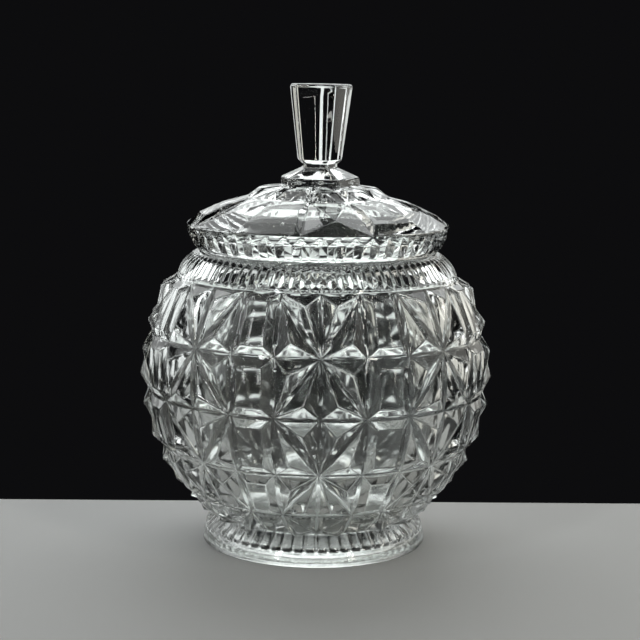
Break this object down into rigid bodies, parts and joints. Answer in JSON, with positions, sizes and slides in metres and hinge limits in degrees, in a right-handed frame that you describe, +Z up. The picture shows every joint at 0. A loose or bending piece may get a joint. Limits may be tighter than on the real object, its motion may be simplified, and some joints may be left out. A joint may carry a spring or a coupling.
{
  "type": "candy jar",
  "caption": "Round footed pressed-glass candy jar with a star-and-block pattern, and a loose domed lid with a faceted knob that lifts off.",
  "frame": {"origin": "middle of the foot's underside, on the surface that the jar stands on", "axes": "+Z up along the jar's axis, -Y towards the front, where a star faces the viewer, +X to the viewer's right"},
  "size_m": [0.1612, 0.1612, 0.21],
  "materials": {
    "jar_glass": "clear pressed glass, fire-polished",
    "lid_glass": "clear pressed glass, fire-polished"
  },
  "bodies": {
    "jar": {"jar": "jar_glass"},
    "lid": {"lid": "lid_glass"}
  },
  "joints": [
    {"name": "lid_lift", "type": "slide", "parent": "jar", "child": "lid", "axis": [0, 0, 1], "range_m": [0, 0.12]}
  ]
}
